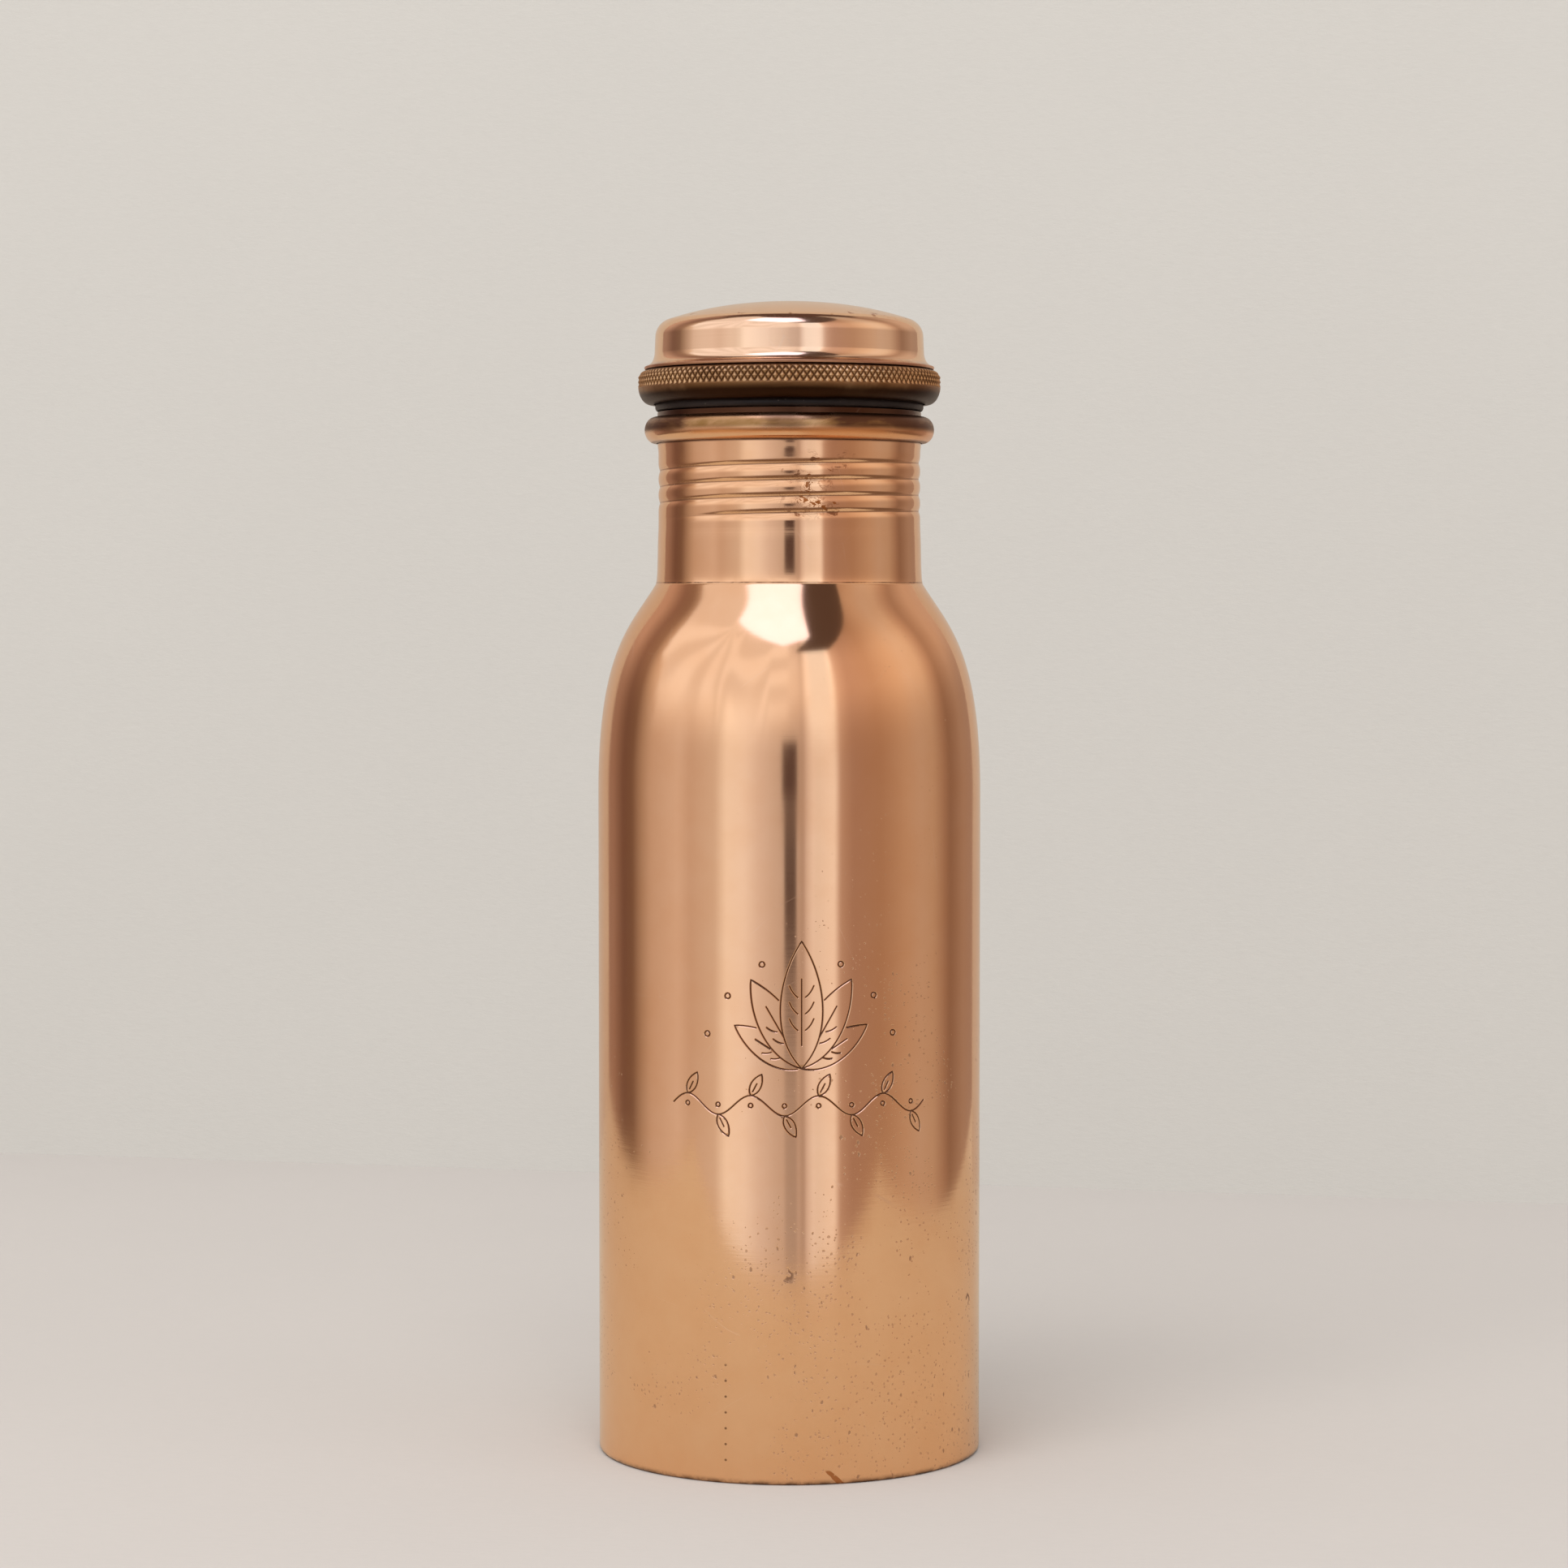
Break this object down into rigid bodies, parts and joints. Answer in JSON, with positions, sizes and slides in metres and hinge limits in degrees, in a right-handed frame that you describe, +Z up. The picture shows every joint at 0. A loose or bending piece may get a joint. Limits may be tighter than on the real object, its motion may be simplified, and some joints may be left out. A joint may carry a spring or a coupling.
{
  "type": "copper water bottle",
  "caption": "Cylindrical copper water bottle with a rounded shoulder, threaded neck, rubber seal and a screw cap with a knurled grip ring.",
  "frame": {"origin": "centre of the foot ring, in the plane that it stands on", "axes": "+Z up along the bottle's axis, -Y towards the engraved front, +X to the right of someone facing the front"},
  "size_m": [0.072, 0.072, 0.2163],
  "materials": {
    "polished_copper": "polished copper, lightly aged",
    "inner_copper": "bare satin copper",
    "aged_copper": "polished copper with brown and olive tarnish",
    "dark_brass": "knurled, darkened brass",
    "black_rubber": "satin black rubber"
  },
  "bodies": {
    "bottle": {"body_shell": "polished_copper", "base_plate": "inner_copper", "neck_sleeve": "polished_copper", "rim_bead": "aged_copper"},
    "seal": {"seal_washer": "black_rubber"},
    "lid": {"threaded_stem": "inner_copper", "stem_end_plate": "inner_copper", "grip_ring": "dark_brass", "cap_shell": "polished_copper"}
  },
  "joints": [
    {"name": "lid_rise", "type": "slide", "parent": "bottle", "child": "seal", "axis": [0, 0, 1], "range_m": [0, 0.0361]},
    {"name": "lid_turn", "type": "hinge", "parent": "seal", "child": "lid", "pos_m": [0, 0, 0.1956], "axis": [0, 0, 1], "range_deg": [0, 4320]}
  ],
  "couplings": [
    {"joint": "lid_rise", "follows": "lid_turn", "m_per_rad": 0.00047746}
  ]
}
